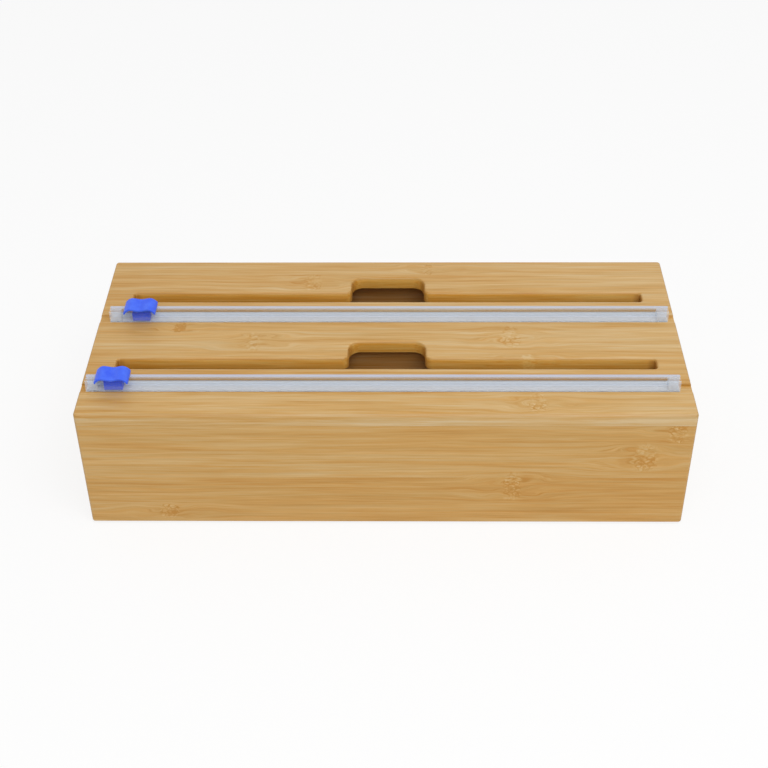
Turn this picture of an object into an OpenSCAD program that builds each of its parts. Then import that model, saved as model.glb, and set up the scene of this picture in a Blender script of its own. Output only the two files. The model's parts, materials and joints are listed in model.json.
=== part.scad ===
// Bamboo wrap and foil dispenser: a two-bay box with a hinged lid and two slide cutters.
// Millimetres. X runs along the box, the front faces -Y and +Z is up.
// The origin lies at the bottom of the feet, in the middle of the whole object.

/* [Box] */
// Width of the wooden box along X
box_w = 350; // [320:1:420]
// Depth of the wooden box from front to back
box_d = 155; // [150:1:190]
// Height of the wooden box with its lid, without the feet
box_h = 82; // [74:0.5:110]
// Thickness of the front and back panels
front_t = 10; // [9.5:0.5:13]
// Thickness of the two end panels
end_t = 12; // [11:0.5:15]
// Thickness of the bottom panel
base_t = 6; // [4:0.5:9]
// Thickness of the panel between the two bays
divider_t = 8; // [5:0.5:10]
// How far the divider stops below the rim
divider_drop = 3; // [1:0.5:12]
// Depth of the grooves that hold the bottom panel and the divider
groove_in = 4; // [3:0.5:5]
// Radius of the upright outside corners
corner_r = 2; // [0.5:0.25:4]
// Glue gap around pieces set into the wood
glue_gap = 0.1; // [0.05:0.01:0.2]

/* [Corner dowels] */
// Diameter of a dowel
dowel_d = 6; // [4:0.5:7]
// Length of a dowel
dowel_l = 30; // [20:1:40]
// Depth of a dowel in the front or back panel
dowel_in = 6; // [4:0.5:7]
// Height of the lower dowels above the bottom of the box
dowel_low = 20; // [14:1:26]
// Distance of the upper dowels below the rim
dowel_high = 18; // [14:1:26]

/* [Feet] */
// Diameter of a foot
foot_d = 14; // [8:1:24]
// Height of a foot
foot_h = 1.5; // [1:0.1:4]
// Distance of a foot's middle from the outside of the box
foot_inset = 26; // [22:1:45]

/* [Lid] */
// Thickness of the lid
lid_t = 7.5; // [7:0.25:11]
// Gap between the rim of the box and the lid
seam = 0.2; // [0.15:0.05:0.6]
// Radius of the lid's front top edge
lid_front_r = 3.5; // [1:0.25:5]
// Middle of the front cutter rail behind the front of the box
rail_y = 24.9; // [20:0.1:30]
// Distance between the front set and the rear set of rail, slot and notch
set_pitch = 67.5; // [62:0.5:76]

/* [Dispensing slots] */
// Distance of a slot's ends from the sides of the box
slot_inset = 17.2; // [15:0.1:30]
// Width of a slot from front to back
slot_w = 8.8; // [6:0.1:10]
// Radius of a slot's corners
slot_r = 1.8; // [1:0.1:2.8]
// Distance of a slot's middle behind the middle of its rail
slot_back = 22.9; // [17:0.1:24]
// Width of the finger notch
notch_w = 45.2; // [38:0.2:60]
// How far the finger notch lies to the right of its slot's middle
notch_shift = 0.6; // [-2:0.1:2]
// Depth of the finger notch behind its slot
notch_d = 16.4; // [13:0.1:19]
// Radius of the finger notch's rear corners
notch_r = 7; // [4:0.5:9]
// Radius of the flare where the finger notch meets its slot
notch_flare = 4; // [1:0.25:4]

/* [Cutter rails] */
// Distance of a rail's ends from the sides of the box, on average
rail_inset = 5.5; // [4:0.5:14]
// Sideways shift of the front rail
front_rail_shift = -1.8; // [-3:0.1:3]
// Sideways shift of the rear rail
rear_rail_shift = 1.1; // [-3:0.1:3]
// Width of a rail
rail_w = 7.2; // [7:0.1:10]
// Height of a rail
rail_h = 7.9; // [7:0.1:11]
// Thickness of a rail's floor and walls
rail_wall = 0.9; // [0.7:0.05:1.2]
// Thickness of a rail's top lips
lip_t = 1; // [0.8:0.05:1.4]
// Width of the front top lip, wall included
front_lip = 1.2; // [1.1:0.05:1.8]
// Width of the slit between the two lips
slit_w = 2.7; // [2.4:0.1:3.4]
// Side gap between a rail and its seat in the lid
seat_gap = 0.2; // [0.1:0.05:0.4]
// Depth of the rail's seat in the lid
seat_depth = 1.5; // [1:0.1:2.5]
// Thickness of the adhesive tape under a rail
tape_t = 0.5; // [0.3:0.05:0.8]
// Distance of the tape's edges from the sides of the rail
tape_inset = 0.5; // [0.2:0.1:1.5]
// Length of an end stop
stop_l = 7; // [4:0.5:10]
// Gap around an end stop in its rail
stop_gap = 0.05; // [0.03:0.01:0.1]

/* [Sliders] */
// Distance of the front slider's middle from the left end of its rail
front_park = 15.9; // [15:0.1:40]
// Distance of the rear slider's middle from the left end of its rail
rear_park = 19.2; // [15:0.1:40]
// Running gap of a slider in its rail
run_gap = 0.3; // [0.2:0.05:0.35]
// Length of a slider's foot inside the rail
foot_l = 10.6; // [8:0.2:13]
// Length of a slider's neck through the slit
neck_l = 9.8; // [7:0.2:12]
// Length of a slider's wave plate
wave_l = 19.3; // [17:0.1:28]
// Depth of a slider's wave plate from front to back
wave_d = 12.1; // [10:0.1:16]
// How far the wave plate's middle lies in front of the rail's middle
wave_shift = 0.8; // [0:0.1:1.5]
// Thickness of a slider's wave plate
wave_t = 1.3; // [1:0.1:1.8]
// Distance of the plate's two shoulders from its middle
shoulder_x = 5.4; // [5:0.1:7]
// Height of the shoulders above the dip in the plate's middle
shoulder_rise = 0.8; // [0.5:0.1:2.2]
// Height of the shoulders above the plate's turned-down tips
tip_drop = 2.8; // [2.4:0.1:4]
// Gap between the tips and the top of the rail
tip_gap = 0.7; // [0.3:0.1:1.2]

/* [Blades] */
// Thickness of a blade
blade_t = 0.4; // [0.3:0.05:0.6]
// Height of a blade
blade_h = 4.2; // [3:0.1:4.6]
// How far a blade's points reach past each end of the neck
blade_out = 1.6; // [0.8:0.1:2.2]
// Gap between the top of a blade and the wave plate
blade_top_gap = 0.3; // [0.2:0.05:0.5]
// Gap around a blade in its slot
blade_gap = 0.03; // [0.02:0.01:0.06]

/* [Hinges] */
// Distance of a hinge's middle from the middle of the box
hinge_x = 105; // [60:1:130]
// Width of a hinge
hinge_w = 30; // [24:1:44]
// Depth of a hinge leaf on the wood
leaf_d = 9; // [8:0.5:9.5]
// Thickness of a hinge leaf
leaf_t = 1; // [0.8:0.1:1.4]
// Outside diameter of the hinge barrel
barrel_d = 4.4; // [3.8:0.1:5.4]
// Diameter of the hinge pin
pin_d = 2; // [1.6:0.1:2.4]
// Radial running gap of the hinge pin
pin_gap = 0.05; // [0.03:0.01:0.08]
// Gap between the barrel's three knuckles, and between barrel and wood
knuckle_gap = 0.3; // [0.2:0.05:0.5]
// Angle to which the lid opens
open_angle = 105; // [92:1:125]
// Length of the stop tail below the hinge axis when the lid is open
tail_l = 4.5; // [3.5:0.1:7]
// Thickness of the stop tail
tail_t = 1.2; // [0.9:0.1:1.5]
// Distance of the stop tail's sides from the ends of its knuckle
tail_side = 0.6; // [0.2:0.1:2]
// Gap left between the stop tail and the back panel at full opening
tail_gap = 0.3; // [0.2:0.05:0.5]

/* [Hinge screws] */
// Distance between the two screws of a leaf
screw_pitch = 18; // [14:1:20]
// Distance of a screw's middle from the back of the box
screw_in = 5; // [4:0.25:5.5]
// Diameter of a screw's head
screw_head_d = 4; // [3.4:0.1:4.4]
// Diameter of a screw's shank
screw_d = 1.8; // [1.4:0.1:2]
// Length of a screw with its head
screw_l = 5.6; // [4:0.2:6.4]
// Gap around a screw
screw_gap = 0.05; // [0.03:0.01:0.08]
// Width and depth of the slot in a screw's head
screw_slot = 0.5; // [0.3:0.05:0.6]

/* [Magnets] */
// Diameter of a magnet
magnet_d = 6; // [4:0.5:7]
// Thickness of a magnet
magnet_t = 3; // [2:0.25:4]
// Distance of a magnet's middle from the side of the box
magnet_x = 32; // [26:1:60]

/* [Hidden] */

$fn = 64;
// Extra length of a cutting tool past the face that it cuts
cut = 1;
// Steps along half of a slider's wave plate
wave_steps = 16;

bamboo = "#CFA66A";
bamboo_inside = "#B98E55";
dowel_wood = "#D9BC8C";
clear_plastic = "#C4CBD6";
blue_plastic = "#4669FF";
steel = "#B9BBBE";
magnet_metal = "#D5D7DA";
tape_white = "#E9E7E0";
foot_rubber = "#2B2B2D";

// Hinge axis and the reach of the hinge behind the box
hinge_out = barrel_d / 2 + knuckle_gap;
tail_reach = tail_l * sin(open_angle) - (hinge_out - tail_gap) * cos(open_angle);
overhang = hinge_out + max(barrel_d / 2, tail_reach);

// Outside planes of the box
x_end = box_w / 2;
y_front = -(box_d + overhang) / 2;
y_back = y_front + box_d;
z_bottom = foot_h;
z_top = z_bottom + box_h;
z_lid = z_top - lid_t;
z_rim = z_lid - seam;
z_base = z_bottom + base_t;
y_axis = y_back + hinge_out;
z_axis = z_rim + seam / 2;

// Inside planes of the box
x_in = x_end - end_t;
y_in_front = y_front + front_t;
y_in_back = y_back - front_t;
y_mid = (y_front + y_back) / 2;
x_set = x_in + groove_in - glue_gap;

// Places of the two sets in the lid, and of their rails
set_y = [y_front + rail_y, y_front + rail_y + set_pitch];
rail_x = [front_rail_shift, rear_rail_shift];
rail_l = box_w - 2 * rail_inset;
slot_l = box_w - 2 * slot_inset;
z_seat = z_top - seat_depth;
z_rail = z_seat + tape_t;
z_rail_top = z_rail + rail_h;

// Sliders, measured from the middle of the rail's slit
park = [front_park, rear_park];
slit_mid = front_lip + slit_w / 2 - rail_w / 2;
foot_w = rail_w - 2 * rail_wall - 2 * run_gap;
foot_top = z_rail_top - lip_t - run_gap;
foot_bottom = z_rail + rail_wall + run_gap;
neck_w = slit_w - 2 * run_gap;
z_shoulder = z_rail_top + tip_gap + wave_t + tip_drop;
z_blade_top = z_shoulder - shoulder_rise - wave_t - blade_top_gap;

knuckle_w = hinge_w / 3;
magnet_y = y_front + front_t / 2;

// A bar from corner a to corner b
module bar(a, b) {
    translate(a) cube(b - a);
}

// A block with its four upright edges rounded
module round_block(a, b, r) {
    bar([a[0] + r, a[1], a[2]], [b[0] - r, b[1], b[2]]);
    bar([a[0], a[1] + r, a[2]], [b[0], b[1] - r, b[2]]);
    for (x = [a[0] + r, b[0] - r], y = [a[1] + r, b[1] - r])
        translate([x, y, a[2]]) cylinder(r = r, h = b[2] - a[2]);
}

// A block whose two outward upright corners are rounded, toward -Y or +Y
module outer_panel(a, b, r, side) {
    difference() {
        bar(a, b);
        for (x = [-1, 1])
            corner_cut([x * b[0], side < 0 ? a[1] : b[1]], [x, side], a[2], b[2], r);
    }
}

// What is cut away to round one upright corner at point p, which looks toward d
module corner_cut(p, d, z0, z1, r) {
    translate([p[0] - d[0] * r, p[1] - d[1] * r, z0 - cut])
        difference() {
            translate([d[0] > 0 ? 0 : -r - cut, d[1] > 0 ? 0 : -r - cut, 0])
                cube([r + cut, r + cut, z1 - z0 + 2 * cut]);
            translate([0, 0, -cut]) cylinder(r = r, h = z1 - z0 + 4 * cut);
        }
}

// Places of the dowels at the ends of the box in the list: -1 is the left end, 1 the right
module at_dowels(sides) {
    for (x = sides, z = [z_bottom + dowel_low, z_rim - dowel_high]) {
        translate([x * (x_end - end_t / 2), y_in_front - dowel_in, z]) rotate([-90, 0, 0]) children();
        translate([x * (x_end - end_t / 2), y_in_back + dowel_in, z]) rotate([90, 0, 0]) children();
    }
}

module dowel_holes(sides) {
    at_dowels(sides) translate([0, 0, -glue_gap])
        cylinder(d = dowel_d + 2 * glue_gap, h = dowel_l + 2 * glue_gap);
}

// The place that the bottom panel takes up in the panels around it
module base_seat() {
    bar([-x_in - groove_in, y_in_front - groove_in, z_bottom - cut],
        [x_in + groove_in, y_in_back + groove_in, z_base]);
}

module at_magnets() {
    for (x = [-1, 1])
        translate([x * (x_end - magnet_x), magnet_y, 0]) children();
}

module at_hinge_screws() {
    for (x = [-1, 1], s = [-1, 1])
        translate([x * hinge_x + s * screw_pitch / 2, y_back - screw_in, 0]) children();
}

// Case

module base_panel() {
    color(bamboo_inside)
        bar([-x_set, y_in_front - groove_in + glue_gap, z_bottom],
            [x_set, y_in_back + groove_in - glue_gap, z_base]);
}

module front_panel() {
    color(bamboo) difference() {
        outer_panel([-x_end, y_front, z_bottom], [x_end, y_in_front, z_rim], corner_r, -1);
        base_seat();
        dowel_holes([-1, 1]);
        at_magnets() translate([0, 0, z_rim - magnet_t])
            cylinder(d = magnet_d + 2 * glue_gap, h = magnet_t + cut);
    }
}

module back_panel() {
    color(bamboo) difference() {
        outer_panel([-x_end, y_in_back, z_bottom], [x_end, y_back, z_rim], corner_r, 1);
        base_seat();
        dowel_holes([-1, 1]);
        for (x = [-1, 1])
            leaf_seat(x * hinge_x, z_rim - leaf_t, z_rim + cut);
        at_hinge_screws() translate([0, 0, z_rim - screw_l - glue_gap])
            cylinder(d = screw_d + 2 * screw_gap, h = screw_l);
    }
}

module end_panel(side) {
    color(bamboo) difference() {
        bar([side < 0 ? -x_end : x_in, y_in_front, z_bottom],
            [side < 0 ? -x_in : x_end, y_in_back, z_rim]);
        base_seat();
        dowel_holes([side]);
        bar([-x_in - groove_in, y_mid - divider_t / 2 - glue_gap, z_base - cut],
            [x_in + groove_in, y_mid + divider_t / 2 + glue_gap, z_rim + cut]);
    }
}

module left_end_panel() { end_panel(-1); }
module right_end_panel() { end_panel(1); }

module divider_panel() {
    color(bamboo_inside)
        bar([-x_set, y_mid - divider_t / 2, z_base], [x_set, y_mid + divider_t / 2, z_rim - divider_drop]);
}

module corner_dowels() {
    color(dowel_wood) at_dowels([-1, 1]) cylinder(d = dowel_d, h = dowel_l);
}

module case_magnets() {
    color(magnet_metal) at_magnets() translate([0, 0, z_rim - magnet_t])
        cylinder(d = magnet_d, h = magnet_t);
}

module non_slip_feet() {
    color(foot_rubber)
        for (x = [-1, 1], y = [y_front + foot_inset, y_back - foot_inset])
            translate([x * (x_end - foot_inset), y, 0]) cylinder(d = foot_d, h = foot_h);
}

// Hinges

// The recess for a leaf, centred at x, open at the back of the box
module leaf_seat(x, z0, z1) {
    bar([x - hinge_w / 2 - glue_gap, y_back - leaf_d - glue_gap, z0],
        [x + hinge_w / 2 + glue_gap, y_back + cut, z1]);
}

// A leaf between heights z0 and z1: knuckles lists both ends of each, from the leaf's middle
module hinge_leaf(x, z0, z1, knuckles, tail) {
    color(steel) difference() {
        union() {
            bar([x - hinge_w / 2, y_back - leaf_d, z0], [x + hinge_w / 2, y_back, z1]);
            for (k = knuckles) {
                bar([x + k[0], y_back - leaf_d, z0], [x + k[1], y_axis, z1]);
                translate([x + k[0], y_axis, z_axis]) rotate([0, 90, 0])
                    cylinder(d = barrel_d, h = k[1] - k[0]);
                if (tail)
                    translate([x, y_axis, z_axis]) rotate([open_angle, 0, 0])
                        bar([k[0] + tail_side, tail_gap - hinge_out, -tail_l],
                            [k[1] - tail_side, tail_gap - hinge_out + tail_t, 0]);
            }
        }
        translate([x - hinge_w / 2 - cut, y_axis, z_axis]) rotate([0, 90, 0])
            cylinder(d = pin_d + 2 * pin_gap, h = hinge_w + 2 * cut);
        screw_sinks(z0, z1, tail ? -1 : 1);
    }
}

// Countersunk screw holes in the leaves: way is the side that the heads look toward
module screw_sinks(z0, z1, way) {
    at_hinge_screws() {
        translate([0, 0, z0 - cut]) cylinder(d = screw_d + 2 * screw_gap, h = z1 - z0 + 2 * cut);
        translate([0, 0, way > 0 ? z0 : z1]) mirror([0, 0, way > 0 ? 0 : 1])
            cylinder(d1 = screw_d + 2 * screw_gap, d2 = screw_head_d + 2 * screw_gap, h = z1 - z0);
    }
}

module case_leaf(side) {
    hinge_leaf(side * hinge_x, z_rim - leaf_t, z_rim,
        [[-hinge_w / 2, -knuckle_w / 2 - knuckle_gap], [knuckle_w / 2 + knuckle_gap, hinge_w / 2]], false);
}

module lid_leaf(side) {
    hinge_leaf(side * hinge_x, z_lid, z_lid + leaf_t, [[-knuckle_w / 2, knuckle_w / 2]], true);
}

module left_hinge_case_leaf() { case_leaf(-1); }
module right_hinge_case_leaf() { case_leaf(1); }
module left_hinge_lid_leaf() { lid_leaf(-1); }
module right_hinge_lid_leaf() { lid_leaf(1); }

module hinge_pin(side) {
    color(steel) translate([side * hinge_x - hinge_w / 2, y_axis, z_axis]) rotate([0, 90, 0])
        cylinder(d = pin_d, h = hinge_w);
}

module left_hinge_pin() { hinge_pin(-1); }
module right_hinge_pin() { hinge_pin(1); }

// A slotted countersunk screw that points down, with the top of its head at height 0
module screw() {
    difference() {
        union() {
            translate([0, 0, -screw_l]) cylinder(d = screw_d, h = screw_l);
            translate([0, 0, -leaf_t]) cylinder(d1 = screw_d, d2 = screw_head_d, h = leaf_t);
        }
        bar([-screw_head_d, -screw_slot / 2, -screw_slot], [screw_head_d, screw_slot / 2, cut]);
    }
}

module hinge_case_screws() {
    color(steel) at_hinge_screws() translate([0, 0, z_rim]) screw();
}

module hinge_lid_screws() {
    color(steel) at_hinge_screws() translate([0, 0, z_lid]) mirror([0, 0, 1]) screw();
}

// Lid

// The dispensing slot and finger notch of one set: y is the middle of its rail
module dispensing_cut(y) {
    slot_mid = y + slot_back;
    slot_rear = slot_mid + slot_w / 2;
    z0 = z_lid - cut;
    z1 = z_top + cut;
    round_block([-slot_l / 2, slot_mid - slot_w / 2, z0], [slot_l / 2, slot_rear, z1], slot_r);
    translate([notch_shift, 0, 0]) {
        round_block([-notch_w / 2, slot_mid - slot_w / 2, z0],
            [notch_w / 2, slot_rear + notch_d, z1], notch_r);
        bar([-notch_w / 2, slot_mid, z0], [notch_w / 2, slot_rear + notch_flare, z1]);
        for (x = [-1, 1])
            difference() {
                bar([x > 0 ? notch_w / 2 : -notch_w / 2 - notch_flare, slot_rear - cut, z0],
                    [x > 0 ? notch_w / 2 + notch_flare : -notch_w / 2, slot_rear + notch_flare, z1]);
                translate([x * (notch_w / 2 + notch_flare), slot_rear + notch_flare, z0 - cut])
                    cylinder(r = notch_flare, h = z1 - z0 + 2 * cut);
            }
    }
}

// The seat of a rail, open at both ends of the lid
module rail_seat(y) {
    seat = rail_w / 2 + seat_gap;
    bar([-x_end - cut, y - seat, z_seat], [x_end + cut, y + seat, z_top + cut]);
}

// What is cut away to round the lid's front top edge
module front_edge_cut() {
    translate([-x_end - cut, y_front + lid_front_r, z_top - lid_front_r]) rotate([0, 90, 0])
        difference() {
            translate([-lid_front_r - cut, -lid_front_r - cut, 0])
                cube([lid_front_r + cut, lid_front_r + cut, box_w + 2 * cut]);
            translate([0, 0, -cut]) cylinder(r = lid_front_r, h = box_w + 4 * cut);
        }
}

module lid_panel() {
    color(bamboo) difference() {
        round_block([-x_end, y_front, z_lid], [x_end, y_back, z_top], corner_r);
        front_edge_cut();
        for (y = set_y) {
            dispensing_cut(y);
            rail_seat(y);
        }
        at_magnets() translate([0, 0, z_lid - cut])
            cylinder(d = magnet_d + 2 * glue_gap, h = magnet_t + cut);
        for (x = [-1, 1])
            leaf_seat(x * hinge_x, z_lid - cut, z_lid + leaf_t);
        at_hinge_screws() translate([0, 0, z_lid])
            cylinder(d = screw_d + 2 * screw_gap, h = screw_l + glue_gap);
    }
}

module lid_magnets() {
    color(magnet_metal) at_magnets() translate([0, 0, z_lid]) cylinder(d = magnet_d, h = magnet_t);
}

// Cutter rails, each drawn around its own middle and then set in place

module at_rail(set) {
    translate([rail_x[set], set_y[set], z_rail]) children();
}

// A length of constant outline along X, from x to x + l
module along_x(x, l) {
    translate([x, 0, 0]) rotate([90, 0, 90]) linear_extrude(height = l) children();
}

module cutter_rail(set) {
    w = rail_w / 2;
    slit = [front_lip - w, front_lip + slit_w - w];
    under = rail_h - lip_t;
    color(clear_plastic, 0.6) at_rail(set) along_x(-rail_l / 2, rail_l)
        polygon([[-w, 0], [w, 0], [w, rail_h], [slit[1], rail_h], [slit[1], under], [w - rail_wall, under],
            [w - rail_wall, rail_wall], [rail_wall - w, rail_wall], [rail_wall - w, under],
            [slit[0], under], [slit[0], rail_h], [-w, rail_h]]);
}

module rail_tape(set) {
    color(tape_white) at_rail(set)
        bar([-rail_l / 2, tape_inset - rail_w / 2, -tape_t], [rail_l / 2, rail_w / 2 - tape_inset, 0]);
}

module rail_end_stops(set) {
    w = rail_w / 2 - rail_wall - stop_gap;
    slit = [front_lip - rail_w / 2 + stop_gap, front_lip + slit_w - rail_w / 2 - stop_gap];
    low = rail_wall + stop_gap;
    under = rail_h - lip_t - stop_gap;
    color(clear_plastic, 0.7) at_rail(set)
        for (x = [-rail_l / 2, rail_l / 2 - stop_l])
            along_x(x, stop_l)
                polygon([[-w, low], [w, low], [w, under], [slit[1], under], [slit[1], rail_h],
                    [slit[0], rail_h], [slit[0], under], [-w, under]]);
}

module front_cutter_rail() { cutter_rail(0); }
module rear_cutter_rail() { cutter_rail(1); }
module front_rail_tape() { rail_tape(0); }
module rear_rail_tape() { rail_tape(1); }
module front_rail_end_stops() { rail_end_stops(0); }
module rear_rail_end_stops() { rail_end_stops(1); }

// Sliders

module at_slider(set) {
    translate([rail_x[set] - rail_l / 2 + park[set], set_y[set], 0]) children();
}

// Height of the wave plate's top at a distance x from its middle: a dip between two shoulders,
// with tips that curve down outside them
function wave(x) = abs(x) < shoulder_x
    ? z_shoulder - shoulder_rise * (1 + cos(180 * x / shoulder_x)) / 2
    : z_shoulder - tip_drop * pow((abs(x) - shoulder_x) / (wave_l / 2 - shoulder_x), 2);

// Slope of the wave plate's top outside its shoulders
function tip_slope(x) = 2 * tip_drop * max(0, abs(x) - shoulder_x) / pow(wave_l / 2 - shoulder_x, 2);

// Height of the wave plate's underside: the plate keeps its thickness where it slopes, and its tips end flat
function underside(x) = max(wave(x) - wave_t * sqrt(1 + pow(tip_slope(x), 2)), z_rail_top + tip_gap);

// An outline in X and Z, given depth along Y from y0 to y1
module upright(y0, y1, points) {
    translate([0, y1, 0]) rotate([90, 0, 0]) linear_extrude(height = y1 - y0) polygon(points);
}

module slider(set) {
    plate_x = [for (i = [-wave_steps : wave_steps]) i * wave_l / 2 / wave_steps];
    neck_x = [for (i = [-wave_steps : wave_steps]) i * neck_l / 2 / wave_steps];
    plate_top = [for (x = plate_x) [x, wave(x)]];
    plate_under = [for (i = [len(plate_x) - 1 : -1 : 0]) [plate_x[i], underside(plate_x[i])]];
    neck_top = [for (x = neck_x) [x, wave(x) - wave_t / 2]];
    color(blue_plastic) at_slider(set) difference() {
        union() {
            upright(-wave_d / 2 - wave_shift, wave_d / 2 - wave_shift, concat(plate_top, plate_under));
            upright(slit_mid - neck_w / 2, slit_mid + neck_w / 2,
                concat([[neck_l / 2, foot_bottom], [-neck_l / 2, foot_bottom]], neck_top));
            bar([-foot_l / 2, -foot_w / 2, foot_bottom], [foot_l / 2, foot_w / 2, foot_top]);
        }
        upright(slit_mid - blade_t / 2 - blade_gap, slit_mid + blade_t / 2 + blade_gap,
            blade_outline(blade_gap));
    }
}

// A blade's outline, grown by a gap: its slanted ends are the two cutting edges
function blade_outline(gap) = let (top = z_blade_top + gap, low = z_blade_top - blade_h - gap,
    wide = neck_l / 2 + blade_out + gap, narrow = neck_l / 2 - blade_out)
    [[-narrow, low], [narrow, low], [wide, top], [-wide, top]];

module slider_blade(set) {
    color(steel) at_slider(set)
        upright(slit_mid - blade_t / 2, slit_mid + blade_t / 2, blade_outline(0));
}

module front_slider() { slider(0); }
module rear_slider() { slider(1); }
module front_slider_blade() { slider_blade(0); }
module rear_slider_blade() { slider_blade(1); }

base_panel();
front_panel();
back_panel();
left_end_panel();
right_end_panel();
divider_panel();
corner_dowels();
case_magnets();
non_slip_feet();
left_hinge_case_leaf();
right_hinge_case_leaf();
left_hinge_pin();
right_hinge_pin();
hinge_case_screws();
lid_panel();
lid_magnets();
left_hinge_lid_leaf();
right_hinge_lid_leaf();
hinge_lid_screws();
front_cutter_rail();
rear_cutter_rail();
front_rail_tape();
rear_rail_tape();
front_rail_end_stops();
rear_rail_end_stops();
front_slider();
rear_slider();
front_slider_blade();
rear_slider_blade();
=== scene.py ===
"""Bamboo wrap and foil dispenser: finishes, softened edges, studio and camera."""
import json
import math

import bmesh
import bpy
from mathutils import Matrix, Vector


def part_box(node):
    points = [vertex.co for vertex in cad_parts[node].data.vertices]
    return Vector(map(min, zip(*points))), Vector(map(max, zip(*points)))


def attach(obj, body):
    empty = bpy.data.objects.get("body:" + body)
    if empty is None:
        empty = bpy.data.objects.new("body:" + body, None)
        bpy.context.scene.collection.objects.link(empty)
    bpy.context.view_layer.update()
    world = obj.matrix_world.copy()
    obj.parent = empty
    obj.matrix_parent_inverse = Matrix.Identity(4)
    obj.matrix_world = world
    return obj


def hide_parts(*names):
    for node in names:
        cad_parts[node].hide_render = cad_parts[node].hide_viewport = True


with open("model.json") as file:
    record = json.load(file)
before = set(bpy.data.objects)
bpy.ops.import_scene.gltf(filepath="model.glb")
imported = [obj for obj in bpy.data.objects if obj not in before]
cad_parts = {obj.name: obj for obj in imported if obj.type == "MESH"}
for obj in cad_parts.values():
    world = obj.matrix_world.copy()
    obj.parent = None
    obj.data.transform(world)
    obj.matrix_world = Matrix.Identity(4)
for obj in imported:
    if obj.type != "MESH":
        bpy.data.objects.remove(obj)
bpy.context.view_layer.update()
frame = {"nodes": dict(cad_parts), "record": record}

MM = 0.001
X, Y, Z = 0, 1, 2
BODIES = frame["record"]["behaviour"]["bodies"]
NODE_BODIES = {node: body for body, nodes in BODIES.items() for node in nodes}


# Node values and materials

class Value:
    """One output in a finish. Arithmetic on it adds Math nodes to the same tree."""

    def __init__(self, finish, socket):
        self.finish = finish
        self.socket = socket

    def math(self, operation, *others):
        return self.finish.math(operation, self, *others)

    def __add__(self, other):
        return self.math("ADD", other)

    def __radd__(self, other):
        return self.finish.math("ADD", other, self)

    def __sub__(self, other):
        return self.math("SUBTRACT", other)

    def __rsub__(self, other):
        return self.finish.math("SUBTRACT", other, self)

    def __mul__(self, other):
        return self.math("MULTIPLY", other)

    def __rmul__(self, other):
        return self.finish.math("MULTIPLY", other, self)

    def __truediv__(self, other):
        return self.math("DIVIDE", other)

    def __rtruediv__(self, other):
        return self.finish.math("DIVIDE", other, self)

    def __pow__(self, other):
        return self.math("POWER", other)

    def __neg__(self):
        return self.math("MULTIPLY", -1.0)

    def __abs__(self):
        return self.math("ABSOLUTE")

    def floor(self):
        return self.math("FLOOR")

    def larger(self, other):
        return self.math("MAXIMUM", other)

    def rise(self, low, high):
        """0 below low, 1 above high, and a smooth step between them."""
        limits = {"Value": self, "From Min": low, "From Max": high}
        return self.finish.node("ShaderNodeMapRange", {"interpolation_type": "SMOOTHSTEP"}, limits)

    def fall(self, low, high):
        """1 below low, 0 above high, and a smooth step between them."""
        return 1 - self.rise(low, high)


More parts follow.
